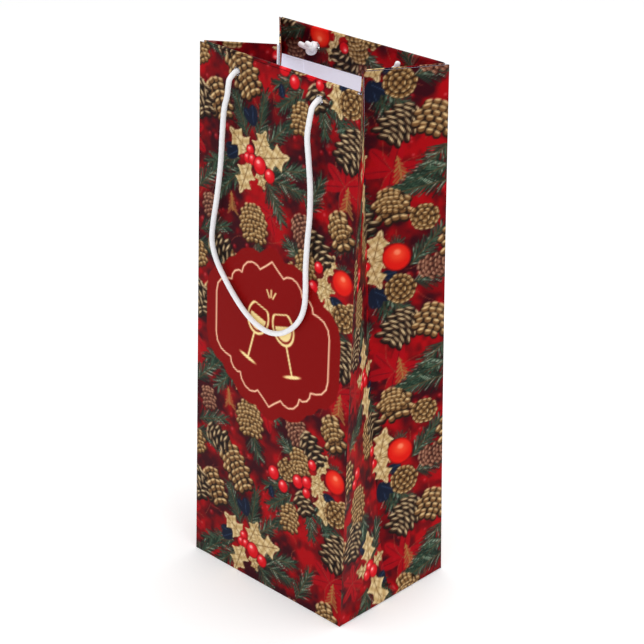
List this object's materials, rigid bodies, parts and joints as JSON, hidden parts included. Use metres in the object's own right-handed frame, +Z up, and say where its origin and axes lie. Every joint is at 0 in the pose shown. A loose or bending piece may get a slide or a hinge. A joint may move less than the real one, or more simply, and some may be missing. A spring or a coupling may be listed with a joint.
{
  "type": "wine gift bag",
  "caption": "Tall paper gift bag for one wine bottle, with folding side gussets, a stiffened top hem, a loose base card and two knotted cord handles.",
  "frame": {"origin": "centre of the bottom, on the surface the bag stands on", "axes": "+Z up along the height, +X towards the right gusset, -Y towards the front panel"},
  "size_m": [0.125, 0.09, 0.3298],
  "materials": {
    "printed_paper": "glossy laminated print",
    "plain_paper": "uncoated",
    "grey_card": "uncoated",
    "cord": "smooth braided"
  },
  "bodies": {
    "base": {"outer_flap": "printed_paper", "inner_flap": "printed_paper", "right_tab": "printed_paper", "left_tab": "printed_paper", "base_card": "grey_card"},
    "front_panel": {"front_panel": "printed_paper", "front_board": "grey_card", "front_hem": "printed_paper", "right_gusset_front_lower": "printed_paper", "left_gusset_front_lower": "printed_paper", "front_knot_left": "cord", "front_knot_right": "cord"},
    "back_panel": {"back_panel": "printed_paper", "back_board": "grey_card", "back_hem": "printed_paper", "right_gusset_back_lower": "printed_paper", "left_gusset_back_lower": "printed_paper", "back_knot_left": "cord", "back_knot_right": "cord", "seam_tab": "plain_paper"},
    "right_gusset_front": {"right_gusset_front_upper": "printed_paper", "right_gusset_front_hem": "printed_paper"},
    "right_gusset_back": {"right_gusset_back_upper": "printed_paper", "right_gusset_back_hem": "printed_paper"},
    "left_gusset_front": {"left_gusset_front_upper": "printed_paper", "left_gusset_front_hem": "printed_paper"},
    "left_gusset_back": {"left_gusset_back_upper": "printed_paper", "left_gusset_back_hem": "printed_paper"},
    "front_handle": {"front_cord": "cord"},
    "back_handle": {"back_cord": "cord"}
  },
  "joints": [
    {"name": "mouth_open", "type": "hinge", "parent": "front_panel", "child": "right_gusset_front", "pos_m": [0.0625, -0.045, 0], "axis": [0, -0.0364, -0.9993], "range_deg": [0, 30]},
    {"name": "right_back_fold", "type": "hinge", "parent": "back_panel", "child": "right_gusset_back", "pos_m": [0.0625, 0.045, 0], "axis": [0, -0.0364, 0.9993], "range_deg": [0, 30]},
    {"name": "left_front_fold", "type": "hinge", "parent": "front_panel", "child": "left_gusset_front", "pos_m": [-0.0625, -0.045, 0], "axis": [0, 0.0364, 0.9993], "range_deg": [0, 30]},
    {"name": "left_back_fold", "type": "hinge", "parent": "back_panel", "child": "left_gusset_back", "pos_m": [-0.0625, 0.045, 0], "axis": [0, 0.0364, -0.9993], "range_deg": [0, 30]},
    {"name": "front_panel_lean", "type": "hinge", "parent": "base", "child": "front_panel", "pos_m": [0, -0.045, 0], "axis": [1, 0, 0], "range_deg": [0, 1.9]},
    {"name": "back_panel_lean", "type": "hinge", "parent": "base", "child": "back_panel", "pos_m": [0, 0.045, 0], "axis": [-1, 0, 0], "range_deg": [0, 1.9]},
    {"name": "front_handle_swing", "type": "hinge", "parent": "front_panel", "child": "front_handle", "pos_m": [0, -0.03767, 0.31694], "axis": [-1, 0, 0], "range_deg": [0, 180]},
    {"name": "back_handle_swing", "type": "hinge", "parent": "back_panel", "child": "back_handle", "pos_m": [0, 0.03767, 0.31694], "axis": [1, 0, 0], "range_deg": [0, 180]}
  ],
  "couplings": [
    {"joint": "right_back_fold", "follows": "mouth_open", "ratio": 1},
    {"joint": "left_front_fold", "follows": "mouth_open", "ratio": 1},
    {"joint": "left_back_fold", "follows": "mouth_open", "ratio": 1},
    {"joint": "front_panel_lean", "follows": "mouth_open", "ratio": 0.062959},
    {"joint": "back_panel_lean", "follows": "mouth_open", "ratio": 0.062959}
  ]
}
